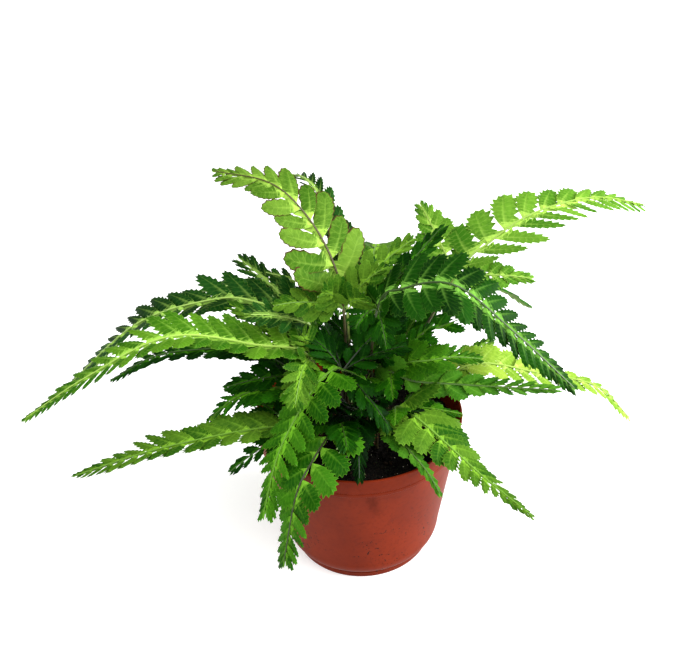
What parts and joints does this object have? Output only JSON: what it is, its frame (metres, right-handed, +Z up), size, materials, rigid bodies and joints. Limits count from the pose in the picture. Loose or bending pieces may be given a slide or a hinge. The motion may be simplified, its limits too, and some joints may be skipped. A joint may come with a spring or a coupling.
{
  "type": "potted variegated fern",
  "caption": "Variegated fern with arching cut fronds, each stalk standing in dark potting soil in a round terracotta-coloured plastic nursery pot.",
  "frame": {"origin": "centre of the pot's flat base, on the surface it stands on", "axes": "+Z up along the pot's axis; -Y towards the side the picture shows; +X to the right in the picture, along the plant's widest spread"},
  "size_m": [0.3675, 0.2677, 0.2279],
  "materials": {
    "pot": "satin",
    "soil": "matte",
    "frond_dark": "satin",
    "frond_mid": "satin",
    "frond_light": "satin",
    "frond_pale": "satin"
  },
  "bodies": {
    "root": {"pot": "pot", "soil": "soil", "frond_top_left": "frond_pale", "frond_behind_top": "frond_dark", "frond_left_dark": "frond_dark", "frond_left_under": "frond_dark", "frond_left_light": "frond_light", "frond_low_left": "frond_mid", "frond_left_inner": "frond_mid", "frond_front_left": "frond_light", "frond_front_low": "frond_mid", "frond_centre": "frond_dark", "frond_front_dark": "frond_dark", "frond_front_small": "frond_pale", "frond_front_right": "frond_light", "frond_right_inner": "frond_mid", "frond_right_mid": "frond_mid", "frond_right_dark": "frond_dark", "frond_right_pale": "frond_pale", "frond_top_right": "frond_pale", "frond_back_right": "frond_mid", "frond_back": "frond_light", "frond_back_low": "frond_mid", "frond_back_left": "frond_dark"}
  },
  "joints": []
}
